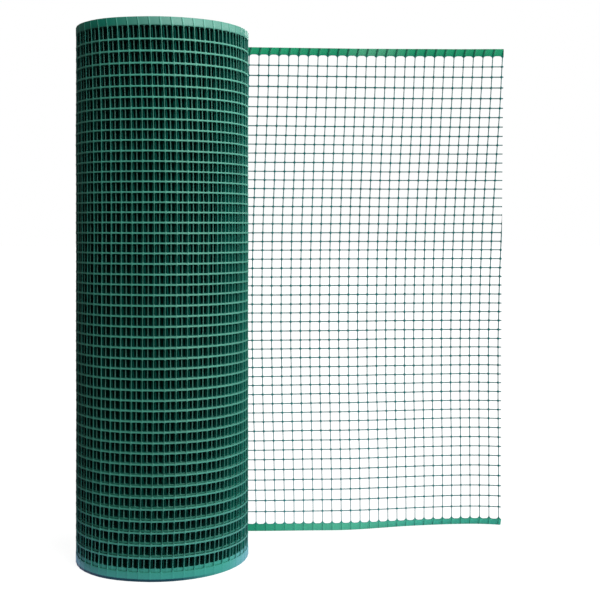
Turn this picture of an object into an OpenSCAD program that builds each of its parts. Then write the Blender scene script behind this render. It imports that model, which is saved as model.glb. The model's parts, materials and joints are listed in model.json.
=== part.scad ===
// A roll of extruded plastic garden mesh, standing on one end, with its free leaf hanging out to one side.
// The origin is on the roll's own axis, in the plane that it stands on. +Z runs up the axis, and the leaf
// leaves the back of the roll, on the +Y side, and runs towards +X.

/* [Roll] */
// Width of the mesh from edge to edge, which is the height of the standing roll
mesh_width = 1000; // [600:50:1500]
// Diameter over the outermost turn
roll_diameter = 330; // [240:10:420]
// Diameter of the open bore that is left through the middle of the roll
bore_diameter = 80; // [40:5:140]
// Distance from one turn to the next, measured across the roll
turn_pitch = 3.2; // [2.8:0.1:5]
// Depth of the gap that shows between the turns at each end
turn_gap_depth = 8; // [3:1:12]

/* [Mesh] */
// Number of long strands between the two edge bands
row_count = 49; // [30:1:60]
// Distance from one crossing strand to the next, along the mesh
column_pitch = 20; // [14:1:40]
// Width of each strand, seen from the face of the mesh
strand_width = 2.2; // [1.4:0.1:3.2]
// Thickness of the mesh, which is where its two layers of strands are welded together
mesh_thickness = 2.4; // [1.6:0.1:3.2]
// Width of the solid band along each long edge
band_width = 15; // [8:1:20]
// Thickness of the solid band along each long edge
band_thickness = 1.6; // [1.2:0.1:2.4]
// Distance from a band to the first long strand beside it
edge_cell = 24; // [16:1:26]
// Share by which the long strands spread out towards the edges
edge_spread = 0.04; // [0:0.01:0.1]
// Height by which the middle strands sit above an even spacing
row_lift = 5; // [0:1:8]

/* [Free leaf] */
// Length of the leaf, from the line where it leaves the roll to its cut end
leaf_length = 690; // [300:10:1200]
// Length of the cut strand ends that stick out past the last crossing strand
end_stub = 12; // [4:1:14]
// Distance that the leaf runs straight before it swings backwards
straight_length = 60; // [20:10:280]
// Distance over which it swings backwards, in a soft S
swing_length = 500; // [200:10:600]
// How far back the leaf has swung by then
leaf_swing = 46; // [0:1:60]

/* [Hidden] */
$fn = 96;
roll_radius = roll_diameter / 2;
bore_radius = bore_diameter / 2;
mesh_green = [0.16, 0.50, 0.38];
leaf_green = [0.18, 0.60, 0.42];
// most crossings that one panel of the leaf holds
crossings_per_panel = 400;
// how far a cutting shape runs past the face that it opens
clear_past = 1;
gap_count = floor((roll_radius - bore_radius) / turn_pitch) - 1;
column_count = ceil((leaf_length - end_stub - strand_width) / column_pitch);
panel_count = ceil(column_count * row_count / crossings_per_panel);

// Height of long strand k, counted down from the top band
function row_place(k) = 1 - 2 * (k - 1) / (row_count - 1);
function row_spread(u) = (1 - edge_spread) * u + edge_spread * pow(u, 5);
function row_height(k) =
    mesh_width / 2
    + (mesh_width / 2 - band_width - edge_cell) * row_spread(row_place(k))
    + row_lift * (1 - pow(row_place(k), 2));

// The space between long strands g and g + 1, where the two outermost spaces end at a band
function space_floor(g) = g == row_count ? band_width : row_height(g + 1) + strand_width / 2;
function space_roof(g) = g == 0 ? mesh_width - band_width : row_height(g) - strand_width / 2;

// Crossing strand j, counted from the roll: how far out it stands
function column_x(j) = leaf_length - end_stub - (column_count - j) * column_pitch;

// The leaf's back face seen from above: straight off the roll, then swinging back
function swing_share(x) = min(1, max(0, (x - straight_length) / swing_length));
function leaf_back(x) = roll_radius + leaf_swing * (3 - 2 * swing_share(x)) * pow(swing_share(x), 2);

// Panel i holds the crossing strands after last_column(i - 1), up to last_column(i)
function last_column(i) = floor(i * column_count / panel_count);
function panel_end(i) =
    i == 0 ? 0
    : i == panel_count ? leaf_length
    : column_x(last_column(i)) + column_pitch / 2;

// The gaps between the turns, cut as narrow V grooves into a flat end
function groove(i, end_z, depth) =
    let (inner = roll_radius - (i + 1) * turn_pitch, outer = roll_radius - i * turn_pitch - band_thickness)
    [[inner, end_z], [(inner + outer) / 2, end_z + depth], [outer, end_z]];

module turned_roll() {
    bottom = [for (i = [gap_count - 1:-1:0]) each groove(i, 0, turn_gap_depth)];
    top = [for (i = [0:gap_count - 1]) let (g = groove(i, mesh_width, -turn_gap_depth)) each [g[2], g[1], g[0]]];
    rotate_extrude()
        polygon(concat(
            [[bore_radius, 0]], bottom, [[roll_radius, 0], [roll_radius, mesh_width]],
            top, [[bore_radius, mesh_width]]
        ));
}

// The flat and the step at the back of the roll, where the leaf lies against it and leaves it
module leaf_seat() {
    translate([0, roll_radius - mesh_thickness, -clear_past])
        cube([roll_radius, mesh_thickness + clear_past, mesh_width + 2 * clear_past]);
}

module wound_roll() {
    color(mesh_green)
        difference() {
            turned_roll();
            leaf_seat();
        }
}

// An upright slice of the leaf, bent along its line as seen from above
module leaf_slice(stations, proud) {
    outer = [for (x = stations) [x, leaf_back(x) + proud]];
    inner = [for (n = [len(stations) - 1:-1:0]) [stations[n], leaf_back(stations[n]) - mesh_thickness - proud]];
    polygon(concat(outer, inner));
}

// The open spaces between crossing strands j and j + 1
module cell_column(j) {
    from_x = j == 0 ? -clear_past : column_x(j) + strand_width / 2;
    to_x = j == column_count ? leaf_length + clear_past : column_x(j + 1) - strand_width / 2;
    for (g = [0:row_count])
        translate([0, 0, space_floor(g)])
            linear_extrude(height = space_roof(g) - space_floor(g))
                leaf_slice([from_x, to_x], clear_past);
}

module leaf_panel(i) {
    first = last_column(i - 1) + 1;
    last = last_column(i);
    color(leaf_green)
        difference() {
            linear_extrude(height = mesh_width)
                leaf_slice(concat([panel_end(i - 1)], [for (j = [first:last]) column_x(j)], [panel_end(i)]), 0);
            for (j = [first - 1:last]) cell_column(j);
        }
}

wound_roll();
for (i = [1:panel_count])
    leaf_panel(i);
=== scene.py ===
"""A standing roll of green plastic garden mesh, with its free leaf hanging out to one side."""

import json
import math

import bmesh
import bpy
from bpy.props import FloatProperty, FloatVectorProperty, IntProperty, PointerProperty
from bpy.types import Operator, Panel, PropertyGroup
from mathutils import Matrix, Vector


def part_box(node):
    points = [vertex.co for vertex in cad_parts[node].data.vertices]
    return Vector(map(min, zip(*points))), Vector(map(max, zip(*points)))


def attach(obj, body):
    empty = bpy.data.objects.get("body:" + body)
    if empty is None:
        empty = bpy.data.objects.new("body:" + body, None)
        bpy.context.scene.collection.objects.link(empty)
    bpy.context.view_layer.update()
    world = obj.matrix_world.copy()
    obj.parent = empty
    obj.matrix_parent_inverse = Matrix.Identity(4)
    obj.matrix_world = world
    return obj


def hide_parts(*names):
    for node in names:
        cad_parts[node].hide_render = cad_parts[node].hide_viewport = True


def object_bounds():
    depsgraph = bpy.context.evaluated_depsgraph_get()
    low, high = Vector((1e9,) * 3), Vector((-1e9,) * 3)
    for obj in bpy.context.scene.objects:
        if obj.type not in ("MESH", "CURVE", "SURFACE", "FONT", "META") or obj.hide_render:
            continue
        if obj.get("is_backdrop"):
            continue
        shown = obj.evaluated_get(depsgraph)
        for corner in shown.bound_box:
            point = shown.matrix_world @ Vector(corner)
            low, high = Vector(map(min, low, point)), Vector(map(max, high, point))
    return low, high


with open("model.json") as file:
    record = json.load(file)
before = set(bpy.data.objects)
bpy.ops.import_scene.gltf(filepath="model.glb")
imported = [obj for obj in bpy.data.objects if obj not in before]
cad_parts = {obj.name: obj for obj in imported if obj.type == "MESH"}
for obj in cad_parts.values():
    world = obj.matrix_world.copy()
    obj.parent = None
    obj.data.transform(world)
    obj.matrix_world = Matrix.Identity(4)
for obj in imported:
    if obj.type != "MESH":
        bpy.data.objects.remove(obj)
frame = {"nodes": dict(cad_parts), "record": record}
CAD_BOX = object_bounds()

bl_info = {
    "name": "Garden mesh roll",
    "version": (1, 0, 0),
    "blender": (4, 5, 0),
    "location": "View3D > Sidebar > Mesh roll",
    "description": "Builds a roll of extruded garden mesh with its free leaf, strand by strand",
    "category": "Add Mesh",
}

MM = 0.001
OUTER_PLASTIC = "Green mesh plastic"
DEEP_PLASTIC = "Green mesh plastic, inner turns"
LEAF_NODES = sorted(name for name in frame["nodes"] if name.startswith("leaf_panel"))


def box_corners(node):
    """The lowest and highest corners of a CAD node."""
    low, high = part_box(node)
    return Vector(low), Vector(high)


def mount_radius(name):
    """The radius in metres that the record states for a round mount."""
    found = [mount for mount in frame["record"]["mounts"] if mount["name"] == name]
    return found[0]["dims"]["r_mm"] * MM


ROLL_LOW, ROLL_HIGH = box_corners("wound_roll")
LEAF_END = max(box_corners(name)[1].x for name in LEAF_NODES)


# ---------------------------------------------------------------- sizes and colours


def size(name, description, default, **more):
    """A length in metres."""
    return FloatProperty(
        name=name, description=description, default=default, unit="LENGTH", precision=4, **more
    )


def share(name, description, default, **more):
    """A plain number."""
    return FloatProperty(name=name, description=description, default=default, precision=3, **more)


def paint(name, description, default):
    """A colour, in linear light."""
    return FloatVectorProperty(
        name=name, description=description, default=default, subtype="COLOR", size=3, min=0, max=1
    )


class MeshSizes(PropertyGroup):
    """The flat mesh, as it leaves the extruder."""

    width: size("Mesh width", "Distance between the two outer edges", ROLL_HIGH.z - ROLL_LOW.z)
    band_width: size("Band width", "Solid band along each edge", 15 * MM)
    edge_cell: size("Edge cell", "From a band to the first long strand beside it", 24.3 * MM)
    rows: IntProperty(name="Long strands", description="Long strands between the bands", default=49)
    edge_spread: share("Edge spread", "How much the long strands spread out towards the edges", 0.04)
    row_lift: size("Row lift", "How far the middle strands sit above even spacing", 5 * MM)
    row_wave: size("Row wave", "Slow unevenness of the long strands' spacing", 0.9 * MM)
    row_ripple: size("Row ripple", "Quick unevenness of the long strands' spacing", 0.35 * MM)
    column_pitch: size("Column pitch", "From one crossing strand to the next", 20 * MM)
    end_stub: size("End stub", "From the last crossing strand to the cut end", 12 * MM)
    row_half: size("Long strand half width", "Half the width of a long strand", 1.08 * MM)
    column_half: size("Crossing strand half width", "Half the width of a crossing strand", 0.95 * MM)
    pressed_row: size("Pressed long strand", "Half width of a long strand on the roll", 1.35 * MM)
    pressed_column: size("Pressed crossing strand", "Half width of one inside the roll", 1.3 * MM)
    strand_crown: size("Strand crown", "Half the thickness of a strand at its crown", 1.0 * MM)
    inner_crown: size("Inner crown", "Half the thickness of a strand deeper in the roll", 1.55 * MM)
    strand_side: size("Strand side", "Half the thickness of a strand at its sides", 0.45 * MM)
    knot_crown: size("Knot crown", "Half the thickness of the net where strands cross", 1.5 * MM)
    knot_fillet: size("Knot fillet", "Radius in the corners of a cell", 2.2 * MM)
    band_fillet: size("Band fillet", "Radius in the corners of a cell beside a band", 5.5 * MM)
    turn_fillet: size("Turn fillet", "The same radius on the turns of the roll", 3.0 * MM)
    band_half: size("Band half thickness", "Half the thickness of a band", 0.8 * MM)
    rib_half: size("Rib half width", "Half the width of the rib where a strand crosses a band", 1.3 * MM)
    rib_crown: size("Rib crown", "Half the thickness of a band over a rib", 1.4 * MM)


class RollShape(PropertyGroup):
    """How the mesh is wound."""

    radius: size("Roll radius", "Radius over the outermost turn", (ROLL_HIGH.x - ROLL_LOW.x) / 2)
    bore: size("Bore radius", "Radius of the open middle", mount_radius("roll_bore"))
    pitch: size("Turn pitch", "From one turn to the next", 3.2 * MM)
    climb: size("Climb", "How far the wound mesh climbs after it leaves the leaf", 1.6 * MM)
    wander: size("Wander", "How far a turn stands above its neighbour", 0.7 * MM)
    squeeze: size("Squeeze", "How much narrower the mesh is inside the outermost turn", 1.4 * MM)
    tilt: size("Tilt", "How far the turns climb on the left flank, and sink on the right one", 0.6 * MM)
    heel: size("Heel", "How far the second turn's lowest strands are pushed up", 5.0 * MM)
    bulge: size("Bulge", "How far the turns bulge out, beside the left flank", 4.3 * MM)
    nesting: size("Nesting", "How much closer the second turn lies to the outermost one", 1.2 * MM)
    bow: size("Bow", "How far the ends of a crossing strand run ahead of its middle", 8.2 * MM)
    sway: size("Sway", "How far a crossing strand sways to either side of that bow", 0.9 * MM)
    lead: size("Lead", "How far the crossing strands run ahead as a whole", 7.4 * MM)
    slip: size("Slip", "How much further they run ahead from the second turn on", 4.0 * MM)
    settling: size("Settling", "Wound length over which the leaf's deeper bow eases off", 0.25)
    rib_lean: size("Rib lean", "How much further ahead the ribs lean across the upper band", 1.4 * MM)
    thinning: share("Thinning", "How much thinner the crossing strands are drawn on the roll", 0.12)
    unevenness: size("Unevenness", "How far a strand strays from its even place", 0.5 * MM)


class LeafShape(PropertyGroup):
    """How the free leaf hangs."""

    length: size("Leaf length", "From the line where the leaf leaves the roll to its cut end", LEAF_END)
    bow: size("Bow", "How far the ends of the leaf's crossing strands run ahead of their middle", 11.4 * MM)
    lead: size("Lead", "How far the leaf's crossing strands run ahead as a whole", 5.2 * MM)
    rib_lean: size("Rib lean", "How much further ahead the ribs lean across the leaf's upper band", 3.0 * MM)
    fan: share("Fan", "How much longer the leaf runs along its upper edge", 0.019)
    upper_swing: size("Upper swing", "How far the upper edge swings back", 25 * MM)
    upper_reach: size("Upper reach", "Distance over which the upper edge swings back", 0.56)
    lower_swing: size("Lower swing", "How far the lower edge swings back", 39.4 * MM)
    lower_start: size("Lower start", "Distance that the lower edge runs straight", 0.312)
    lower_reach: size("Lower reach", "Distance over which the lower edge swings back", 0.318)
    curl: size("Curl", "How sharply the lower corner curls forward again", 243 * MM)
    belly: size("Belly", "How much further back the middle hangs than the two edges", 10.4 * MM)
    belly_reach: size("Belly reach", "Distance over which the belly forms", 0.45)
    dip: size("Dip", "How far the leaf bends forward where it leaves the roll", 5 * MM)
    tip: size("Tip", "How far the lower band's edge tips back towards the cut end", 10 * MM)
    crowding: size("Crowding", "How much closer the first long strands lie to the upper band", 2.4 * MM)
    thinning: share("Thinning", "How much thinner the strands are drawn at both edges", 0.20)
    lower_thinning: share("Lower thinning", "How much thinner still they are at the lower edge", 0.075)
    trim: size("Trim", "How far back the cut end is trimmed at the lower edge", 6.0 * MM)
    upper_trim: size("Upper trim", "How far back the cut end is trimmed at the upper edge", 2.0 * MM)


class PlasticLook(PropertyGroup):
    """The finish of the extruded plastic, with light and shade painted into its colours."""

    # Painted sheen: the pale bloom of the outer side is painted sheen. It draws the outer side paler than the
    # inner side, and its long strands paler than its crossing ones.
    outer: paint("Outer side", "Long strands on the outer side, with a pale bloom", (0.062, 0.290, 0.212))
    # Painted sheen: the thicker bloom towards +X is painted sheen, paler where the light falls.
    painted_sheen: paint("Dusted side", "The same towards +X, where the bloom is thicker", (0.086, 0.284, 0.208))
    crossing: paint("Crossing", "Crossing strands on the outer side", (0.030, 0.155, 0.113))
    inner: paint("Inner side", "Strands on the inner side of the mesh", (0.002, 0.145, 0.140))
    # Painted highlight: the grey bloom of the second turn's crossing strands is a painted grey highlight, and
    # its long strands go without it.
    second: paint("Second turn", "Strands of the second turn, where the bloom is grey", (0.040, 0.145, 0.113))
    second_row: paint("Second turn's long strands", "Cleaner than the crossing ones", (0.014, 0.120, 0.080))
    # Painted shade: the third turn and the turns below are drawn ever darker, for the shade deeper in the
    # roll.
    third: paint("Third turn", "Strands of the third turn, which are clean", (0.0030, 0.075, 0.056))
    deep: paint("Deep turns", "Strands of the turns below, which are dark", (0.0012, 0.045, 0.034))
    lit: paint("Lit depth", "Inner strands towards +X, where light comes through", (0.003, 0.110, 0.078))
    band: paint("Band", "The bands' inner side", (0.026, 0.560, 0.284))
    shaded_band: paint("Shaded band", "The lower band's inner side, beside the roll", (0.012, 0.370, 0.176))
    pale_band: paint("Pale band", "The bands' inner side, where it catches light", (0.132, 0.680, 0.395))
    # Painted shade and painted sheen: the bands' outer side goes from the shaded colour below, called clean,
    # to the sheen colour after it, called a pale bloom, towards +X where the light falls.
    band_shade: paint("Band shade", "The bands' outer side, where it is clean", (0.006, 0.180, 0.122))
    band_sheen: paint("Band bloom", "The bands' outer side, with a pale bloom", (0.148, 0.384, 0.308))
    # Painted highlight: the worn crest is a painted highlight along the crest of each rib across the upper
    # band.
    rib_highlight: paint("Rib", "The worn crest of a rib across the upper band", (0.170, 0.560, 0.430))
    band_through: paint("Light through a band", "The light that a band lets through", (0.022, 0.360, 0.152))
    pale_through: paint("Light through a pale band", "The same for the pale stretch", (0.100, 0.390, 0.228))
    tipped_through: paint("Light through a tip", "The same where the edge tips back", (0.260, 0.920, 0.820))
    # Painted reflection: the bluish colour at the lower band's flanks stands for cool light from the floor.
    cool: paint("Cool flank", "The roll's lower band at its two flanks, bluish", (0.075, 0.245, 0.240))
    crease: paint("Crease", "The shaded crease beside each rib of a band", (0.004, 0.130, 0.085))
    rim: paint("Rim", "The rim that the roll stands on, which is always in the shade", (0.0010, 0.035, 0.042))
    roughness: share("Roughness", "Mean roughness of the plastic", 0.42)
    shine: share("Shine", "Specular level of the outer turns and the leaf", 0.15)
    deep_shine: share("Deep shine", "Specular level of the turns below", 0.0)
    band_glow: share("Band glow", "How much light shines through a band", 0.50)


class StudioSetup(PropertyGroup):
    """Camera and lights."""

    eye: FloatVectorProperty(
        name="Eye",
        description="Where the camera stands",
        default=(0.262, -2.087, 0.6312),
        subtype="TRANSLATION",
    )
    lens: share("Lens", "Focal length in millimetres on a 36 mm sensor", 65.27)
    drop: share("Drop", "How far the view is shifted down, as a share of its width", 0.1243)
    key: share("Key", "Strength of the soft sun from the right", 3.0)
    rim: share("Rim", "Strength of the soft sun from the right and a little behind", 2.0)
    back: share("Back", "Strength of the soft sun from behind", 1.2)
    fill: share("Fill", "Brightness of the surroundings as the mesh sees them", 0.15)
    floor_white: share("Floor white", "How white the camera sees the floor, before it is lit", 0.92)
    bounce: share("Bounce", "Strength of the cool light that the floor throws up near the roll", 1.3)
    bounce_reach: size("Bounce reach", "How far in front of the roll's axis that light has halved", 0.24)


# ---------------------------------------------------------------- node trees


class Field:
    """A value in a node tree that sums and products can be made of."""

    def __init__(self, sheet, socket):
        self.sheet = sheet
        self.socket = socket

    def __add__(self, other):
        return self.sheet.math("ADD", self, other)

    __radd__ = __add__

    def __sub__(self, other):
        return self.sheet.math("SUBTRACT", self, other)

    def __rsub__(self, other):
        return self.sheet.math("SUBTRACT", other, self)

    def __mul__(self, other):
        return self.sheet.math("MULTIPLY", self, other)

    __rmul__ = __mul__

    def __truediv__(self, other):
        return self.sheet.math("DIVIDE", self, other)

    def __rtruediv__(self, other):
        return self.sheet.math("DIVIDE", other, self)

    def __pow__(self, other):
        return self.sheet.math("POWER", self, other)

    def __abs__(self):
        return self.sheet.math("ABSOLUTE", self)

    def __round__(self):
        return self.sheet.math("ROUND", self)


class Sheet:
    """A node tree, with short ways of adding nodes to it."""

    def __init__(self, tree):
        self.tree = tree

    def node(self, kind, inputs=None, **settings):
        made = self.tree.nodes.new(kind)
        for name, value in settings.items():
            setattr(made, name, value)
        for key, value in (inputs or {}).items():
            self.feed(made.inputs[key], value)
        return made

    def feed(self, socket, value):
        if isinstance(value, Field):
            self.tree.links.new(value.socket, socket)
        else:
            socket.default_value = value

    def field(self, kind, inputs=None, output=0, **settings):
        return Field(self, self.node(kind, inputs, **settings).outputs[output])

    def math(self, operation, *values, clamp=False):
        return self.field("ShaderNodeMath", dict(enumerate(values)), operation=operation, use_clamp=clamp)

    def vector(self, x, y, z):
        return self.field("ShaderNodeCombineXYZ", {0: x, 1: y, 2: z})


def parts(vector):
    """The three numbers of a vector."""
    split = vector.sheet.node("ShaderNodeSeparateXYZ", {0: vector})
    return [Field(vector.sheet, output) for output in split.outputs]


def larger(first, second):
    return first.sheet.math("MAXIMUM", first, second)


def clamp(value, low, high):
    return value.sheet.math("MINIMUM", larger(value, low), high)


def soft_step(value):
    """0 below 0 and 1 above 1, with a soft S between."""
    t = value.sheet.math("ADD", value, 0.0, clamp=True)
    return t * t * (3 - 2 * t)


def ramp(value, start, end):
    """0 at the start and 1 at the end, with a soft S between. The end may be the lower number."""
    return soft_step((value - start) / (end - start))


def wound(turn):
    """0 on the free leaf and 1 on the roll."""
    return soft_step(turn * 30)


def new_tree(name):
    """An empty geometry tree with its two ends."""
    tree = bpy.data.node_groups.new(name, "GeometryNodeTree")
    sheet = Sheet(tree)
    sheet.start = tree.nodes.new("NodeGroupInput")
    sheet.end = tree.nodes.new("NodeGroupOutput")
    tree.interface.new_socket(name="Geometry", in_out="OUTPUT", socket_type="NodeSocketGeometry")
    return sheet


def tree_input(sheet, name, value):
    """A named input whose kind follows from its value."""
    kinds = {int: "Int", float: "Float", bpy.types.Object: "Object", bpy.types.Material: "Material"}
    sheet.tree.interface.new_socket(name=name, in_out="INPUT", socket_type="NodeSocket" + kinds[type(value)])
    return Field(sheet, sheet.start.outputs[name])


def sine(value):
    return value.sheet.math("SINE", value) if isinstance(value, Field) else math.sin(value)


def cosine(value):
    return value.sheet.math("COSINE", value)


WAVE_RUN, WAVE_START = 0.2327, 1.304  # radians from one long strand to the next, and at the lowest one
RIPPLE_RUN, RIPPLE_START = 1.6535, -0.404


def row_height(sizes, steps):
    """Height of the long strand that lies this many steps above the lowest one."""
    place = steps * 2 / (sizes["rows"] - 1) - 1
    spread = (1 - sizes["edge_spread"]) * place + sizes["edge_spread"] * place * place * place * place * place
    half = sizes["width"] / 2
    wave = sizes["row_wave"] * sine(steps * WAVE_RUN + WAVE_START)
    ripple = sizes["row_ripple"] * sine(steps * RIPPLE_RUN + RIPPLE_START)
    lift = sizes["row_lift"] * (1 - place * place)
    return half + (half - sizes["band_width"] - sizes["edge_cell"]) * spread + lift + wave + ripple


def own_keys(group):
    """The names of the values that a property group holds."""
    return [key for key in group.bl_rna.properties.keys() if key not in ("rna_type", "name")]


def number_values(group):
    """The values of a property group, by name."""
    return {key: getattr(group, key) for key in own_keys(group)}


def shape_values(context):
    """Every size that the winding needs, by name."""
    scene = context.scene
    values = number_values(scene.mesh_sizes)
    values.update({"roll_" + key: value for key, value in number_values(scene.roll_shape).items()})
    values.update({"leaf_" + key: value for key, value in number_values(scene.leaf_shape).items()})
    values["row_pitch"] = even_row_pitch(scene.mesh_sizes)
    return values


def even_row_pitch(sizes):
    """Distance between long strands if they were evenly spaced."""
    return (sizes.width - 2 * (sizes.band_width + sizes.edge_cell)) / (sizes.rows - 1)


# ---------------------------------------------------------------- from flat mesh to wound mesh


ROLL_BOW_POWER = 3.1  # how late a strand's bow on the roll sets in, from its middle towards its ends
LEAF_BOW_EASE = 0.8  # how much a strand's bow on the leaf eases off towards its ends
NOISE_STRETCH = 4  # noise mostly stays within a quarter of its middle value
WANDER_RUN, WANDER_START = 0.31, -0.9  # radians for each radian that the roll is wound, and at its start
MOST_THINNING = 0.35  # how much of its width a strand may lose
S_COST = 0.6  # length that a soft S loses, in units of its swing squared over its reach


def true_height(s, even):
    """Turns a height in evenly spaced rows into the height of the real, uneven rows."""
    steps = clamp(even / s["row_pitch"], 0.0, s["rows"] - 1)
    return row_height(s, steps) + even - steps * s["row_pitch"]


def run_ahead(s, along, height):
    """How far a crossing strand's place at this height runs ahead of its middle."""
    signed = height * 2 / s["width"] - 1
    place = abs(signed)
    past_leaf = along - s["leaf_length"]
    settled = soft_step(past_leaf / s["roll_settling"])
    slipped = soft_step(past_leaf / (s["roll_radius"] * 2 * math.pi) - 0.5)
    on_roll = s["roll_lead"] + s["roll_slip"] * slipped
    on_roll = on_roll + s["roll_bow"] * place ** ROLL_BOW_POWER - s["roll_sway"] * sine(signed * math.pi)
    eased = 1 + LEAF_BOW_EASE - LEAF_BOW_EASE * place * place
    on_leaf = s["leaf_lead"] + s["leaf_bow"] * place * place * eased
    over_band = soft_step((height - s["width"]) / s["band_width"] + 1)
    lean = s["leaf_rib_lean"] + (s["roll_rib_lean"] - s["leaf_rib_lean"]) * settled
    return on_leaf + (on_roll - on_leaf) * settled + lean * over_band


def stray(s, along, height, seed, grain):
    """A smooth stray to either side, the same in every run."""
    spot = along.sheet.vector(along * grain, seed, height * grain)
    noise = along.sheet.field("ShaderNodeTexNoise", {"Vector": spot, "Scale": 1.0, "Detail": 1.0})
    return (noise - 0.5) * NOISE_STRETCH * s["roll_unevenness"]


def leaf_line(s, out_run, height):
    """How far the free leaf has run out, and how far it has swung back."""
    upper_share = height / s["width"]
    run = out_run + out_run * s["leaf_fan"] * (2 * upper_share - 1)
    lower_t = (run - s["leaf_lower_start"]) / s["leaf_lower_reach"]
    past = larger(lower_t - 1, 0.0)
    lower = s["leaf_lower_swing"] * soft_step(lower_t) - s["leaf_curl"] * past * past
    upper = s["leaf_upper_swing"] * soft_step(run / s["leaf_upper_reach"])
    belly = s["leaf_belly"] * 4 * upper_share * (1 - upper_share)
    belly = belly * soft_step(run / s["leaf_belly_reach"])
    dip = s["leaf_dip"] * ramp(run, 0, 0.13) * ramp(run, 0.34, 0.16)
    tip = s["leaf_tip"] * clamp(1 - height / s["band_width"], 0.0, 1.0) * ramp(run, 0.33, 0.50)
    swing = upper * upper_share + lower * (1 - upper_share) + belly - dip + tip
    lower_cost = bend_cost(s, "leaf_lower") * soft_step(lower_t)
    upper_cost = bend_cost(s, "leaf_upper") * soft_step(run / s["leaf_upper_reach"])
    return run - lower_cost * (1 - upper_share) - upper_cost * upper_share, swing


def bend_cost(s, edge):
    """How much an edge of the leaf falls short of its full length, because it swings back."""
    return S_COST * s[edge + "_swing"] * s[edge + "_swing"] / s[edge + "_reach"]


def turn_height(s, height, angle):
    """How far a turn's mesh is lifted at this height."""
    turn = angle / (2 * math.pi)
    climb = s["roll_climb"] * ramp(turn, 0, 0.4)
    wander = s["roll_wander"] * (0.5 - 0.5 * cosine(angle * WANDER_RUN + WANDER_START))
    squeeze = s["roll_squeeze"] * (0.5 - height / s["width"]) * ramp(turn, 0.5, 1.5)
    pushed = 1 - 0.55 * ramp(height, 0.016, 0.038) - 0.45 * ramp(height, 0.05, 0.30)
    heel = s["roll_heel"] * pushed * ramp(turn, 0.8, 1.3)
    return climb + wander + squeeze + heel + s["roll_tilt"] * sine(angle)


def above_floor(s, height):
    """0 at the mesh's lower edge, which stays level, and 1 above the lower band."""
    return soft_step(height / s["band_width"])


def packed(s, angle):
    """How far a turn is pushed out: beside the roll's flank, and towards the outermost turn."""
    turn = angle / (2 * math.pi)
    away = abs(turn - turn.sheet.math("FLOOR", turn) - 0.37)
    bulge = s["roll_bulge"] * ramp(away, 0.11, 0.11 / 6) * ramp(turn, 6, 1)
    return bulge + s["roll_nesting"] * ramp(turn, 0.25, 1.25)


def on_free_leaf(s, along):
    """1 on the free leaf and 0 on the roll."""
    return soft_step((s["leaf_length"] - along) / 0.02)


def crowded(s, along, height):
    """How far the leaf's first long strands are drawn up towards its upper band."""
    from_band = s["width"] - s["band_width"] - height
    near = ramp(from_band, 0.1, 0.035) * ramp(from_band, 0, 0.012)
    return s["leaf_crowding"] * near * on_free_leaf(s, along)


def beside_strand(place, pitch):
    """How far a place lies beside the nearest strand of an even row."""
    return (place - round(place)) * pitch


def towards_strand(place, pitch):
    """The same, fading to nothing away from that strand."""
    beside = beside_strand(place, pitch)
    return beside * ramp(abs(beside), 4.5 * MM, 1.5 * MM)


def drawn_thin(s, along, even):
    """The same place, with the leaf's strands drawn thinner towards both edges, and the roll's a little."""
    down = 1 - even * 2 / (s["row_pitch"] * (s["rows"] - 1))
    thin = down * (s["leaf_thinning"] * down + s["leaf_lower_thinning"])
    thin = clamp(thin, 0.0, MOST_THINNING) * on_free_leaf(s, along)
    column = (along - s["end_stub"]) / s["column_pitch"]
    on_roll = s["roll_thinning"] * (1 - on_free_leaf(s, along))
    along = along - (thin + on_roll) * towards_strand(column, s["column_pitch"])
    return along, even - thin * towards_strand(even / s["row_pitch"], s["row_pitch"])


def wound_place(s, flat):
    """Where a point of the flat mesh lies once the mesh is wound up and its leaf hangs free."""
    along, out, even = parts(flat)
    along, even = drawn_thin(s, along, even)
    height = true_height(s, even)
    height = height + crowded(s, along, height)
    along = along - run_ahead(s, along, height) + stray(s, along, height, seed=0.0, grain=9.0)
    run = along - s["leaf_length"]
    centre = s["roll_radius"] - s["knot_crown"]
    radius = flat.sheet.math("SQRT", centre * centre - larger(run, 0.0) * s["roll_pitch"] / math.pi)
    angle = (centre - radius) * 2 * math.pi / s["roll_pitch"]
    leaf_x, swing = leaf_line(s, larger(run * -1, 0.0), height)
    reach = radius + out + stray(s, along, height, seed=5.0, grain=6.0) + packed(s, angle)
    lift = turn_height(s, height, angle) + stray(s, along, height, seed=9.0, grain=7.0) * 0.6
    rise = height + lift * above_floor(s, height)
    x, y = leaf_x - reach * sine(angle), reach * cosine(angle) + swing
    return flat.sheet.vector(x, y, rise), height, angle / (2 * math.pi)


def spot_level(s, flat):
    """1 on the long strands and 0 between them."""
    away = abs(beside_strand(parts(flat)[2] / s["row_pitch"], s["row_pitch"]))
    return 1 - soft_step(away / (2 * s["row_half"]) - 0.4)


def band_level(s, height, turn):
    """1 on the bands and 0 between them. On the roll, the lower band's look reaches past its edge."""
    middle = s["width"] / 2
    inside = (abs(height - middle) - middle + s["band_width"]) / (1.5 * MM)
    past = 3.5 - 2.5 * ramp(turn, 0.95, 1.0) - ramp(turn, 1.9, 1.95)
    past = past * wound(turn) * (1 - soft_step((height - middle) * 10))
    return soft_step(inside + past)


MERGE_GAP = 0.03 * MM  # points of neighbouring tiles that are closer than this become one
CREASE_ANGLE = math.radians(65)
LAYER_INPUTS = {
    "tile": " tile",
    "first_column": " first column",
    "tiles": " tiles along",
    "step": " columns in a tile",
    "first_row": " first row",
    "rows": " rows",
}


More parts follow.
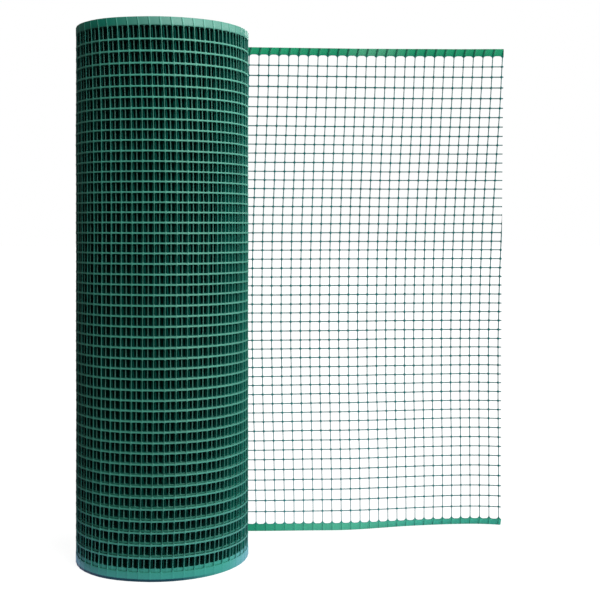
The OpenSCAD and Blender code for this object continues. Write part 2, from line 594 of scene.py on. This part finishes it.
def laid_out(sheet, s, name, values):
    """Copies of one tile on a lattice of columns and rows, as one flat mesh."""
    tile, first_column, tiles, step, first_row, rows = [
        tree_input(sheet, name + label, values[key]) for key, label in LAYER_INPUTS.items()
    ]
    index = sheet.field("GeometryNodeInputIndex")
    column = sheet.math("FLOOR", (index + 0.5) / rows)
    row = index - column * rows
    start = (first_column + column * step) * s["column_pitch"] + s["end_stub"]
    spot = sheet.vector(start, 0.0, (first_row + row) * s["row_pitch"])
    points = sheet.field("GeometryNodePoints", {"Count": tiles * rows, "Position": spot})
    shape = sheet.field("GeometryNodeObjectInfo", {"Object": tile}, output="Geometry")
    placed = sheet.field("GeometryNodeInstanceOnPoints", {"Points": points, "Instance": shape})
    return sheet.field("GeometryNodeRealizeInstances", {"Geometry": placed})


def keep_values(geometry, values):
    """Stores numbers on every corner point, for the material to read."""
    for name, value in values.items():
        geometry = geometry.sheet.field(
            "GeometryNodeStoreNamedAttribute",
            {"Geometry": geometry, "Name": name, "Value": value},
            data_type="FLOAT",
            domain="POINT",
        )
    return geometry


def crease_edges(sheet, geometry, least_angle):
    """Shades everything smooth, apart from edges sharper than this angle."""
    inputs = {"Geometry": geometry, "Shade Smooth": True}
    smooth = sheet.field("GeometryNodeSetShadeSmooth", inputs, domain="FACE")
    bend = sheet.field("GeometryNodeInputMeshEdgeAngle")
    sharp = sheet.math("GREATER_THAN", bend, least_angle)
    return sheet.field(
        "GeometryNodeSetShadeSmooth",
        {"Geometry": smooth, "Selection": sharp, "Shade Smooth": False},
        domain="EDGE",
    )


def winding_tree(name, shape, layers, material):
    """Lays out one or more lattices of tiles, joins them, winds them up, and sets their material."""
    sheet = new_tree(name)
    s = {key: tree_input(sheet, key, value) for key, value in shape.items()}
    join = sheet.node("GeometryNodeJoinGeometry")
    for layer_name, values in layers.items():
        sheet.tree.links.new(laid_out(sheet, s, layer_name, values).socket, join.inputs[0])
    joined = Field(sheet, join.outputs[0])
    flat = sheet.field("GeometryNodeMergeByDistance", {"Geometry": joined, "Distance": MERGE_GAP})
    spot = sheet.field("GeometryNodeInputPosition")
    along, out, _ = parts(spot)
    beside = beside_strand((along - s["end_stub"]) / s["column_pitch"], s["column_pitch"])
    flat = keep_values(flat, {
        "outer_side": clamp(0.5 + out / s["strand_crown"], 0.0, 1.0),
        "rib_side": beside,
        "rib_gap": abs(beside),
    })
    place, height, turn = wound_place(s, spot)
    flat = keep_values(flat, {
        "turn": turn,
        "long_strand": spot_level(s, spot),
        "band": band_level(s, height, turn),
    })
    rolled = sheet.field("GeometryNodeSetPosition", {"Geometry": flat, "Position": place})
    rolled = crease_edges(sheet, rolled, CREASE_ANGLE)
    solid = sheet.field("GeometryNodeRealizeInstances", {"Geometry": rolled})
    plastic = tree_input(sheet, "Material", material)
    coated = sheet.field("GeometryNodeSetMaterial", {"Geometry": solid, "Material": plastic})
    sheet.tree.links.new(coated.socket, sheet.end.inputs[0])
    return sheet.tree


def set_inputs(modifier, values):
    """Sets a modifier's named inputs by the identifiers of their sockets."""
    for item in modifier.node_group.interface.items_tree:
        if item.in_out == "INPUT" and item.name in values:
            modifier[item.identifier] = values[item.name]


def wind_up(name, context, layers, plastic, cut=None):
    """Runs the winding tree, and leaves its result as a closed plain mesh object."""
    shape, material = shape_values(context), bpy.data.materials[plastic]
    carrier = bpy.data.objects.new(name + "_carrier", bpy.data.meshes.new(name + "_carrier"))
    context.scene.collection.objects.link(carrier)
    modifier = carrier.modifiers.new("Winding", "NODES")
    modifier.node_group = winding_tree(name + " winding", shape, layers, material)
    values = dict(shape, Material=material)
    for layer, settings in layers.items():
        values.update({layer + label: settings[key] for key, label in LAYER_INPUTS.items()})
    set_inputs(modifier, values)
    context.view_layer.update()
    evaluated = carrier.evaluated_get(context.evaluated_depsgraph_get())
    mesh = bpy.data.meshes.new_from_object(evaluated, depsgraph=context.evaluated_depsgraph_get())
    bpy.data.objects.remove(carrier)
    piece = bpy.data.objects.new(name, mesh)
    context.scene.collection.objects.link(piece)
    close_openings(piece, cut)
    return piece


# ---------------------------------------------------------------- tiles


SEAM_DEPTH = 1.5 * MM  # how far inside a band its ribs and its arched cells meet
BAND_BEVEL = 0.5 * MM  # how far below its outer edge a band begins to thin out
BAND_RIM = 0.5  # how much of a band's thickness is left at its outer edge
ARCH_WALL = 0.75  # how much of a band's thickness is left along its arched cells
STOUT_ROW = 1.1  # how much wider a long strand is drawn deep in the roll


def tile_object(name, points, faces):
    """A small mesh that the winding tree copies. It isn't a piece, so no scene holds it."""
    mesh = bpy.data.meshes.new(name)
    mesh.from_pydata([tuple(point) for point in points], [], faces)
    return bpy.data.objects.new(name, mesh)


def corner_round(centre, radius, first, last, steps):
    """Points on an arc, with angles in degrees, as (along, height) pairs."""
    angles = [math.radians(first + (last - first) * n / steps) for n in range(steps + 1)]
    return [(centre[0] + radius * math.cos(a), centre[1] + radius * math.sin(a)) for a in angles]


def ring_points(border, crowns, hole, sides):
    """Four rings: the crown in front, the cell's wall in front and behind, and the crown behind."""
    front = [(x, crown, z) for (x, z), crown in zip(border, crowns)]
    wall = [(x, side, z) for (x, z), side in zip(hole, sides)]
    back_wall = [(x, -side, z) for (x, z), side in zip(hole, sides)]
    back = [(x, -crown, z) for (x, z), crown in zip(border, crowns)]
    return front + wall + back_wall + back


def ring_faces(count, rings=4):
    """The faces between rings of this many points."""
    faces = []
    for ring in range(rings - 1):
        for n in range(count):
            after = (n + 1) % count
            low, high = ring * count, (ring + 1) * count
            faces.append((low + n, low + after, high + after, high + n))
    return faces


def lower_corners(sizes, row_half):
    """Border, crowns and hole at the two lower corners of a cell, from left to right."""
    width, fillet = sizes.column_pitch, sizes.knot_fillet
    x_in, z_in = sizes.column_half + fillet, row_half + fillet
    left = corner_round((x_in, z_in), fillet, 180, 270, 2)
    right = corner_round((width - x_in, z_in), fillet, 270, 360, 2)
    border = [(0, z_in), (0, 0), (x_in, 0), (width - x_in, 0), (width, 0), (width, z_in)]
    strand, knot = sizes.strand_crown, sizes.knot_crown
    return border, [strand, knot, strand, strand, knot, strand], left + right


def cell_tile(sizes, row_half):
    """One cell of the net: half of each strand around it, with rounded corners."""
    height = even_row_pitch(sizes)
    border, crowns, hole = lower_corners(sizes, row_half)
    width = sizes.column_pitch
    border += [(width - x, height - z) for x, z in border]
    hole += [(width - x, height - z) for x, z in hole]
    points = ring_points(border, crowns * 2, hole, [sizes.strand_side] * len(hole))
    return tile_object("cell_tile", points, ring_faces(len(border)))


def band_line(sizes, reach):
    """Where the points of a band lie along one cell, and half its thickness there."""
    width = sizes.column_pitch
    along = [width, width - sizes.rib_half, width - reach, reach, sizes.rib_half, 0]
    band, rib = sizes.band_half, sizes.rib_crown
    return along, [rib, band, band, band, band, rib]


def edge_tile(sizes, name, full, row_half, fillet, upper):
    """The cell beside a band, with its arched corners, and the band itself with its ribs."""
    border, crowns, hole = lower_corners(sizes, row_half)
    width = sizes.column_pitch
    x_in = sizes.column_half + fillet
    band_start = full - sizes.band_width
    arch_start, seam = band_start - fillet, band_start + SEAM_DEPTH
    along, thick = band_line(sizes, x_in)
    arch = corner_round((width - x_in, arch_start), fillet, 0, 90, 3)
    arch += corner_round((x_in, arch_start), fillet, 90, 180, 3)
    sides = [sizes.strand_side] * len(hole) + [sizes.band_half * ARCH_WALL] * len(arch)
    first = len(border) + 1
    border += [(width, arch_start)] + [(x, seam) for x in along] + [(0, arch_start)]
    crowns += [sizes.strand_crown] + thick + [sizes.strand_crown]
    points = ring_points(border, crowns, hole + arch, sides)
    faces = ring_faces(len(border))
    front = list(range(first, first + len(along)))
    back = [3 * len(border) + n for n in front]
    for z, thinner in ((full - BAND_BEVEL, 1.0), (full, BAND_RIM)):
        next_front = list(range(len(points), len(points) + len(along)))
        points += [(x, t * thinner, z) for x, t in zip(along, thick)]
        next_back = list(range(len(points), len(points) + len(along)))
        points += [(x, -t * thinner, z) for x, t in zip(along, thick)]
        faces += strip(front, next_front) + strip(next_back, back)
        front, back = next_front, next_back
    faces += strip(front, back)
    if not upper:
        points = [(width - x, y, -z) for x, y, z in points]
    return tile_object(name, points, faces)


def strip(first, second):
    """Faces between two lines of points of the same length."""
    return [(first[n], first[n + 1], second[n + 1], second[n]) for n in range(len(first) - 1)]


def tube_tile(name, section, stations):
    """A strand between stations, where section gives the points around it at each one."""
    sides = len(section(stations[0]))
    points = [point for station in stations for point in section(station)]
    return tile_object(name, points, ring_faces(sides, len(stations)))


def around(sides, half, crown):
    """Points around a strand's section, as (across, out) pairs."""
    turns = [2 * math.pi * n / sides for n in range(sides)]
    return [(half * math.sin(a), crown * math.cos(a)) for a in turns]


def row_tile(sizes, name, sides, columns):
    """A stretch of long strand."""
    ring = around(sides, sizes.pressed_row * STOUT_ROW, sizes.inner_crown)
    length = columns * sizes.column_pitch
    return tube_tile(name, lambda x: [(x, out, across) for across, out in ring], [0, length])


def column_tile(sizes, name, sides, steps, low, high):
    """A crossing strand from band to band."""
    ring = around(sides, sizes.pressed_column, sizes.inner_crown)
    stations = [low + (high - low) * n / steps for n in range(steps + 1)]
    return tube_tile(name, lambda z: [(across, out, z) for across, out in ring], stations)


def band_tile(sizes, name, low, high):
    """A band's stretch of one cell with a rib at each end, for the turns inside the roll."""
    width, rib = sizes.column_pitch, sizes.rib_half
    thick = {0: sizes.rib_crown, rib: sizes.band_half, width - rib: sizes.band_half, width: sizes.rib_crown}

    def section(x):
        return [(x, thick[x], low), (x, thick[x], high), (x, -thick[x], high), (x, -thick[x], low)]

    return tube_tile(name, section, list(thick))


# ---------------------------------------------------------------- pieces


def close_openings(piece, cut=None):
    """Cuts the piece off at a plane if one is given, closes every open end, and turns all faces outwards."""
    work = bmesh.new()
    work.from_mesh(piece.data)
    if cut is not None:
        everything = work.verts[:] + work.edges[:] + work.faces[:]
        foot, facing = cut
        plane = {"plane_co": foot, "plane_no": facing}
        bmesh.ops.bisect_plane(work, geom=everything, dist=1e-6, clear_outer=True, **plane)
    rim = [edge for edge in work.edges if edge.is_boundary]
    made = bmesh.ops.holes_fill(work, edges=rim, sides=0)
    for face in made["faces"]:
        face.smooth = False
    bmesh.ops.recalc_face_normals(work, faces=work.faces[:])
    work.to_mesh(piece.data)
    work.free()


def as_layer(tile, first_column, tiles, step=1, first_row=0, rows=1):
    """One lattice of tiles."""
    return {
        "tile": tile, "first_column": first_column, "tiles": tiles,
        "step": step, "first_row": first_row, "rows": rows,
    }


def finished(piece, *nodes):
    """Attaches a piece to the root body and hides the CAD nodes that it stands for."""
    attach(piece, "root")
    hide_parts(*nodes)
    return piece


def rim_heights(context):
    """Distance from the lowest long strand down to the edge, and from the highest one up to it."""
    values = number_values(context.scene.mesh_sizes)
    return row_height(values, 0), values["width"] - row_height(values, values["rows"] - 1)


def leaf_columns(context):
    """Columns from the cut end to the line where the leaf leaves the roll."""
    sizes, leaf = context.scene.mesh_sizes, context.scene.leaf_shape
    return math.ceil((leaf.length - sizes.end_stub) / sizes.column_pitch)


def leaf_cut(context):
    """The plane of the leaf's cut end: a point at its foot, and the way it faces."""
    leaf, sizes = context.scene.leaf_shape, context.scene.mesh_sizes
    return (leaf.length - leaf.trim, 0, 0), (1, 0, (leaf.upper_trim - leaf.trim) / sizes.width)


def wound_columns(context):
    """Columns in the whole wound part."""
    roll, sizes = context.scene.roll_shape, context.scene.mesh_sizes
    outer, inner = roll.radius - sizes.knot_crown, roll.bore + sizes.knot_crown
    return int(math.pi * (outer ** 2 - inner ** 2) / roll.pitch / sizes.column_pitch)


TURN_COLUMNS = 51  # columns in each of the outermost turns
FULL_TURNS = 2  # turns that are modelled in full
CLOSE_COLUMNS = 300  # columns after those turns whose strands are drawn less coarsely


def fine_net(name, context, first_column, columns, row_half, fillet, cut=None):
    """A stretch of the net with every cell modelled in full, and both bands."""
    sizes = context.scene.mesh_sizes
    low, high = rim_heights(context)
    cell = cell_tile(sizes, row_half)
    upper = edge_tile(sizes, "upper_edge_tile", high, row_half, fillet, True)
    lower = edge_tile(sizes, "lower_edge_tile", low, row_half, fillet, False)
    layers = {
        "Cell": as_layer(cell, first_column, columns, rows=sizes.rows - 1),
        "Upper edge": as_layer(upper, first_column, columns, first_row=sizes.rows - 1),
        "Lower edge": as_layer(lower, first_column, columns),
    }
    return wind_up(name, context, layers, OUTER_PLASTIC, cut)


def band_limits(context):
    """Lower and upper edge of the lower band, and of the upper band, on the even lattice."""
    sizes = context.scene.mesh_sizes
    low, high = rim_heights(context)
    top = even_row_pitch(sizes) * (sizes.rows - 1) + high
    return (-low, sizes.band_width - low), (top - sizes.band_width, top)


def plain_net(name, context, first_column, tiles, step, sides, bends):
    """Turns further in, with plain strands that pass through each other."""
    sizes = context.scene.mesh_sizes
    lower, upper = band_limits(context)
    long_strand = row_tile(sizes, "row_tile", sides, step)
    crossing = column_tile(sizes, "column_tile", sides, bends, lower[1], upper[0])
    layers = {
        "Long strand": as_layer(long_strand, first_column, tiles, step=step, rows=sizes.rows),
        "Crossing strand": as_layer(crossing, first_column, tiles * step),
    }
    return wind_up(name, context, layers, DEEP_PLASTIC)


def inner_bands(name, context, first_column, columns):
    """Both bands of the turns inside the roll, which show as a spiral on its ends."""
    sizes = context.scene.mesh_sizes
    lower, upper = band_limits(context)
    layers = {
        "Upper band": as_layer(band_tile(sizes, "upper_band_tile", *upper), first_column, columns),
        "Lower band": as_layer(band_tile(sizes, "lower_band_tile", *lower), first_column, columns),
    }
    return wind_up(name, context, layers, DEEP_PLASTIC)


# ---------------------------------------------------------------- material


CLOUD_DEPTH = 0.36  # how much soft clouds vary the plastic's brightness
GRAIN_DEPTH = 0.16  # how much its fine grain varies its roughness


def upper_half(height):
    """1 in the upper half of the mesh and 0 in the lower half."""
    return ramp(height, 0.5, 0.6)


def stripe(away, half):
    """1 within this distance of a line and 0 beyond it, with a soft edge a millimetre wide."""
    return 1 - soft_step((away - half) / MM + 0.5)


def mesh_plastic(name, look, shine):
    """Extruded green plastic: paler outside with a painted sheen, darker on the inner side, with painted
    shade deeper in the roll and brighter bands that light shines through.
    """
    material = bpy.data.materials.new(name)
    material.use_nodes = True
    material.node_tree.nodes.clear()
    sheet = Sheet(material.node_tree)
    place = sheet.field("ShaderNodeTexCoord", output="Object")
    turn, outer, band, rib_side, rib_gap, long_strand = [
        sheet.field("ShaderNodeAttribute", output="Fac", attribute_name=stored)
        for stored in ("turn", "outer_side", "band", "rib_side", "rib_gap", "long_strand")
    ]
    cloud = sheet.field("ShaderNodeTexNoise", {"Vector": place, "Scale": 14.0, "Detail": 3.0})
    grain = sheet.field("ShaderNodeTexNoise", {"Vector": place, "Scale": 420.0, "Detail": 2.0})
    side, _, height = parts(place)
    # Painted sheen: the outer side and its long strands are drawn paler than the inner side and the crossing
    # strands.
    strand = blend(outer, look.inner, blend(long_strand, look.crossing, look.outer))
    strand = strand_colour(look, side, height, turn, strand, long_strand)
    # Painted shade beside each rib, and across the leaf's upper band.
    crease = painted_rib_shade(height, turn, rib_side, rib_gap)
    inner_band, through = lit_bands(look, side, height)
    outward = larger(outer, wound(turn))
    bands = blend(outward, inner_band, outer_band_colour(look, side, height, rib_side, rib_gap))
    bands = blend(crease, bands, look.crease)
    # Painted shade on the rim that the roll stands on, away from its far +X flank.
    on_rim = ramp(height, 5.5 * MM, 4 * MM) * wound(turn) * ramp(side, 0.13, 0.03)
    colour = blend(band, strand, blend(on_rim, bands, look.rim))
    colour = scaled(colour, 1 + CLOUD_DEPTH * (cloud - 0.5))
    rough = look.roughness + GRAIN_DEPTH * (grain - 0.5)
    bump = sheet.field("ShaderNodeBump", {"Height": grain, "Strength": 0.25, "Distance": 0.2 * MM})
    plastic = sheet.field(
        "ShaderNodeBsdfPrincipled",
        {"Base Color": colour, "Roughness": rough, "Normal": bump, "IOR": 1.5, "Specular IOR Level": shine},
    )
    # The same painted shade dims the light through the bands.
    through = blend(crease, through, look.crease)
    glow = sheet.field("ShaderNodeBsdfTranslucent", {"Color": through, "Normal": bump})
    glows = band * (1 - wound(turn)) * look.band_glow
    mixed = sheet.field("ShaderNodeMixShader", {0: glows, 1: plastic, 2: glow})
    sheet.node("ShaderNodeOutputMaterial", {"Surface": mixed})
    return material


def lit_bands(look, side, height):
    """The colour of the bands' inner side, with painted shade on the lower band beside the roll, painted
    light further out and a painted glint on the upper band, and the colour of the light that they let
    through.
    """
    lower = 1 - upper_half(height)
    # Painted glint: a pale patch on the upper band, around 0.42 m towards +X.
    painted_glint = (1 - lower) * ramp(abs(side - 0.42), 0.084, 0.014)
    pale = lower * ramp(side, 0.1, 0.34) + painted_glint
    surface = blend(pale, blend(lower, look.band, look.shaded_band), look.pale_band)
    through = blend(pale, look.band_through, look.pale_through)
    return surface, blend(lower * ramp(side, 0.39, 0.52), through, look.tipped_through)


def strand_colour(look, side, height, turn, outermost, long_strand):
    """Strands from the outermost turn inwards, with painted light that makes them paler above and towards +X,
    and painted shade deep inside.
    """
    turned_off = ramp(side, 0.08, 0.13)
    # Painted sheen on the outermost long strands: paler above and towards +X, and less on the far flank.
    painted_sheen = ramp(height, 0.1, 0.45) * ramp(side, -0.02, 0.08)
    painted_sheen = painted_sheen * (1 - 0.6 * turned_off) * long_strand * wound(turn)
    outermost = blend(painted_sheen, outermost, look.painted_sheen)
    sunny = (0.6 * height - 0.24) * ramp(side, -0.18, 0.02) - 0.14 * turned_off
    outermost = scaled(outermost, 1 + sunny * wound(turn))
    lit = ramp(side, 0.11, 0.155)
    facing = ramp(side, -0.02, 0.05) * ramp(height, 0.1, 0.65)
    # The second turn: a painted grey highlight on its crossing strands, and painted light towards +X.
    second = blend(0.7 * lit, blend(long_strand, look.second, look.second_row), look.lit)
    shown = blend(ramp(turn, 0.98, 1.02), outermost, scaled(second, 1 + 0.5 * facing))
    # Painted shade: deeper turns are darker, and darker again lower down and near both edges. Painted light
    # brightens them where they face +X.
    deep = blend(ramp(turn, 2.5, 5.5), look.third, look.deep)
    deep = scaled(deep, (0.5 + 0.55 * height) * (1 + 0.8 * facing))
    ends = ramp(abs(height - 0.5), 0.32, 0.445)
    deep = scaled(blend(lit, deep, look.lit), 1 - 0.25 * ends)
    return blend(ramp(turn, 1.98, 2.02), shown, deep)


def outer_band_colour(look, side, height, rib_side, rib_gap):
    """A band's outer side: painted shade towards -X, and a painted sheen that grows towards +X on the upper
    band, with a little of it on the lower band. It also gets a painted cool reflection on the lower band's
    flanks and a painted highlight on the upper ribs.
    """
    upper = upper_half(height)
    # Painted sheen on the bands' outer side, growing towards +X where the light falls. clean holds the band
    # between painted shade and painted sheen.
    towards_light = soft_step(side / 0.16 + 0.62)
    below = 0.2 - 0.06 * towards_light
    sheen_share = below + (towards_light - 0.4 * ramp(side, 0.09, 0.14) - below) * upper
    clean = blend(sheen_share, look.band_shade, look.band_sheen)
    # Painted cool reflection on the lower band at the roll's two flanks.
    clean = blend(ramp(abs(side), 0.12, 0.17) * (1 - upper), clean, look.cool)
    # Painted highlight along the crest of each rib on the upper band.
    crest = stripe(abs(rib_side - 0.3 * MM), 0.6 * MM) * stripe(rib_gap, 2.3 * MM)
    return blend(crest * upper * (0.6 + 0.3 * sheen_share), clean, look.rib_highlight)


def painted_rib_shade(height, turn, rib_side, rib_gap):
    """Where painted shade darkens a band: broadly across the leaf's upper band, and beside each rib
    elsewhere.
    """
    upper = upper_half(height)
    broad, narrow = stripe(rib_gap, 2.3 * MM), stripe(rib_gap, 0.8 * MM)
    aside = stripe(abs(rib_side + 1.7 * MM), 0.8 * MM)
    on_roll = aside * broad * upper * 0.8
    across_leaf = narrow * 0.7 + (broad * 0.8 - narrow * 0.7) * upper
    return on_roll + (across_leaf - on_roll) * (1 - wound(turn))


def scaled(colour, factor):
    """A colour made brighter or darker."""
    return colour.sheet.field("ShaderNodeVectorMath", {0: colour, "Scale": factor}, operation="SCALE")


def blend(factor, first, second):
    """A colour between two others."""
    sheet = factor.sheet
    mix = sheet.node("ShaderNodeMix", data_type="RGBA")
    sheet.feed(mix.inputs[0], factor)
    for socket, colour in ((mix.inputs[6], first), (mix.inputs[7], second)):
        sheet.feed(socket, colour if isinstance(colour, Field) else (*colour, 1.0))
    return Field(sheet, mix.outputs[2])


COOL_LIGHT = (0.60, 0.65, 1.0)
LEAF_SIDE_SHARE = 0.36  # how much distances towards +X count, where the cool light reaches under the leaf
BOUNCE_FADE = 8  # how sharply the floor's cool light ends


def floor_finish(setup):
    """Matt white floor, which also throws a cool light up at the mesh."""
    material = bpy.data.materials.new("White floor")
    material.use_nodes = True
    material.node_tree.nodes.clear()
    sheet = Sheet(material.node_tree)
    seen = sheet.field("ShaderNodeLightPath", output="Is Camera Ray")
    matt = sheet.field("ShaderNodeBsdfDiffuse", {"Color": (0.2, 0.2, 0.2, 1)})
    x, y, _ = parts(sheet.field("ShaderNodeTexCoord", output="Object"))
    x = larger(x * LEAF_SIDE_SHARE, x * -1)
    away = sheet.math("SQRT", x * x + y * y)
    bounce = setup.bounce / (1 + (away / setup.bounce_reach) ** BOUNCE_FADE)
    strength = bounce + seen * (setup.floor_white - bounce)
    tint = blend(seen, COOL_LIGHT, (1.0, 1.0, 1.0))
    light = sheet.field("ShaderNodeEmission", {"Color": tint, "Strength": strength})
    both = sheet.field("ShaderNodeAddShader", {0: matt, 1: light})
    sheet.node("ShaderNodeOutputMaterial", {"Surface": both})
    return material


# ---------------------------------------------------------------- operators


class MESHROLL_OT_plastic(Operator):
    """Makes the plastic's finish"""

    bl_idname = "mesh_roll.plastic"
    bl_label = "Plastic finish"

    def execute(self, context):
        look = context.scene.plastic_look
        mesh_plastic(OUTER_PLASTIC, look, look.shine)
        mesh_plastic(DEEP_PLASTIC, look, look.deep_shine)
        return {"FINISHED"}


class MESHROLL_OT_leaf(Operator):
    """Builds the free leaf, from its cut end to the roll"""

    bl_idname = "mesh_roll.leaf"
    bl_label = "Free leaf"

    def execute(self, context):
        sizes = context.scene.mesh_sizes
        columns = leaf_columns(context) + 1
        fillet, cut = sizes.band_fillet, leaf_cut(context)
        leaf = fine_net("free_leaf", context, -1, columns, sizes.row_half, fillet, cut)
        finished(leaf, *LEAF_NODES)
        return {"FINISHED"}


class MESHROLL_OT_outer_turns(Operator):
    """Builds the outermost turns in full, one piece for each turn"""

    bl_idname = "mesh_roll.outer_turns"
    bl_label = "Outer turns"

    def execute(self, context):
        sizes = context.scene.mesh_sizes
        for turn in range(FULL_TURNS):
            start = leaf_columns(context) + turn * TURN_COLUMNS
            name = f"outer_turn_{turn + 1}"
            net = fine_net(name, context, start, TURN_COLUMNS, sizes.pressed_row, sizes.turn_fillet)
            finished(net, "wound_roll")
        return {"FINISHED"}


class MESHROLL_OT_inner_turns(Operator):
    """Builds the turns further in with plain strands"""

    bl_idname = "mesh_roll.inner_turns"
    bl_label = "Inner turns"

    def execute(self, context):
        first = leaf_columns(context) + FULL_TURNS * TURN_COLUMNS
        rest = leaf_columns(context) + wound_columns(context) - first - CLOSE_COLUMNS
        close = plain_net("middle_turns", context, first, CLOSE_COLUMNS, step=1, sides=4, bends=12)
        start = first + CLOSE_COLUMNS
        deep = plain_net("deep_turns", context, start, rest // 2, step=2, sides=3, bends=4)
        for net in (close, deep):
            finished(net, "wound_roll")
        return {"FINISHED"}


class MESHROLL_OT_inner_bands(Operator):
    """Builds both bands of the inner turns"""

    bl_idname = "mesh_roll.inner_bands"
    bl_label = "Inner bands"

    def execute(self, context):
        first = leaf_columns(context) + FULL_TURNS * TURN_COLUMNS
        columns = wound_columns(context) - FULL_TURNS * TURN_COLUMNS
        finished(inner_bands("inner_bands", context, first, columns), "wound_roll")
        return {"FINISHED"}


class MESHROLL_OT_stage(Operator):
    """Sets the floor, the lights and the camera"""

    bl_idname = "mesh_roll.stage"
    bl_label = "Stage"

    def execute(self, context):
        scene, setup = context.scene, context.scene.studio_setup
        add_floor(scene, setup)
        add_lights(scene, setup)
        add_camera(scene, setup)
        return {"FINISHED"}


FLOOR_HALF = 30  # half the floor's width
SUN_SPREAD = math.radians(35)
SUNS = {"key": (0.62, -0.79, 0.5), "rim": (0.92, 0.20, 0.34), "back": (0.10, 0.95, 0.35)}


def add_floor(scene, setup):
    """A wide level floor under the roll."""
    mesh = bpy.data.meshes.new("floor")
    corners = [(x * FLOOR_HALF, y * FLOOR_HALF, 0) for x, y in ((-1, -1), (1, -1), (1, 1), (-1, 1))]
    mesh.from_pydata(corners, [], [(0, 1, 2, 3)])
    mesh.materials.append(floor_finish(setup))
    floor = bpy.data.objects.new("floor", mesh)
    scene.collection.objects.link(floor)
    floor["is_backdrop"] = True


def add_sun(scene, name, strength, direction):
    """A soft sun that shines from this direction."""
    lamp = bpy.data.lights.new(name, "SUN")
    lamp.energy = strength
    lamp.angle = SUN_SPREAD
    sun = bpy.data.objects.new(name, lamp)
    sun.rotation_euler = Vector(direction).to_track_quat("Z", "Y").to_euler()
    scene.collection.objects.link(sun)


def add_lights(scene, setup):
    """Soft suns from the right and from behind, and pale surroundings that look white to the camera."""
    for name, direction in SUNS.items():
        add_sun(scene, name, getattr(setup, name), direction)
    world = bpy.data.worlds.new("studio")
    world.use_nodes = True
    world.node_tree.nodes.clear()
    sheet = Sheet(world.node_tree)
    seen = sheet.field("ShaderNodeLightPath", output="Is Camera Ray")
    strength = setup.fill + seen * (1 - setup.fill)
    light = sheet.field("ShaderNodeBackground", {"Color": (1, 1, 1, 1), "Strength": strength})
    sheet.node("ShaderNodeOutputWorld", {"Surface": light})
    scene.world = world
    scene.view_settings.view_transform = "Standard"


SENSOR_WIDTH = 36.0  # in millimetres, as the focal length is


def add_camera(scene, setup):
    """A level camera in front of the roll, a little above its middle."""
    data = bpy.data.cameras.new("camera")
    data.lens = setup.lens
    data.sensor_width = SENSOR_WIDTH
    data.shift_y = -setup.drop
    data.clip_end = 100.0
    camera = bpy.data.objects.new("camera", data)
    camera.location = setup.eye
    camera.rotation_euler = (math.radians(90), 0, 0)
    scene.collection.objects.link(camera)
    scene.camera = camera


class MESHROLL_PT_panel(Panel):
    """Lists every size and every step"""

    bl_label = "Mesh roll"
    bl_idname = "MESHROLL_PT_panel"
    bl_space_type = "VIEW_3D"
    bl_region_type = "UI"
    bl_category = "Mesh roll"

    def draw(self, context):
        for group in SETTINGS:
            section = self.layout.box()
            section.label(text=group.replace("_", " ").capitalize())
            owner = getattr(context.scene, group)
            for key in own_keys(owner):
                section.prop(owner, key)
        for operator in STEPS:
            self.layout.operator(operator.bl_idname)


SETTINGS = {
    "mesh_sizes": MeshSizes,
    "roll_shape": RollShape,
    "leaf_shape": LeafShape,
    "plastic_look": PlasticLook,
    "studio_setup": StudioSetup,
}
STEPS = (
    MESHROLL_OT_plastic,
    MESHROLL_OT_leaf,
    MESHROLL_OT_outer_turns,
    MESHROLL_OT_inner_turns,
    MESHROLL_OT_inner_bands,
    MESHROLL_OT_stage,
)


def register():
    for cls in (*SETTINGS.values(), *STEPS, MESHROLL_PT_panel):
        bpy.utils.register_class(cls)
    for name, group in SETTINGS.items():
        setattr(bpy.types.Scene, name, PointerProperty(type=group))


def unregister():
    for name in SETTINGS:
        delattr(bpy.types.Scene, name)
    for cls in reversed((*SETTINGS.values(), *STEPS, MESHROLL_PT_panel)):
        bpy.utils.unregister_class(cls)


def write_sizes():
    """Makes plain lists of numbers from the CAD model's box and the visual model's box."""
    boxes = {"cad": CAD_BOX, "visual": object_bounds()}
    plain = {name: [[float(value) for value in corner] for corner in box] for name, box in boxes.items()}


def main():
    register()
    bpy.ops.mesh_roll.plastic()
    bpy.ops.mesh_roll.leaf()
    bpy.ops.mesh_roll.outer_turns()
    bpy.ops.mesh_roll.inner_turns()
    bpy.ops.mesh_roll.inner_bands()
    bpy.ops.mesh_roll.stage()
    write_sizes()


if __name__ == "__main__":
    main()
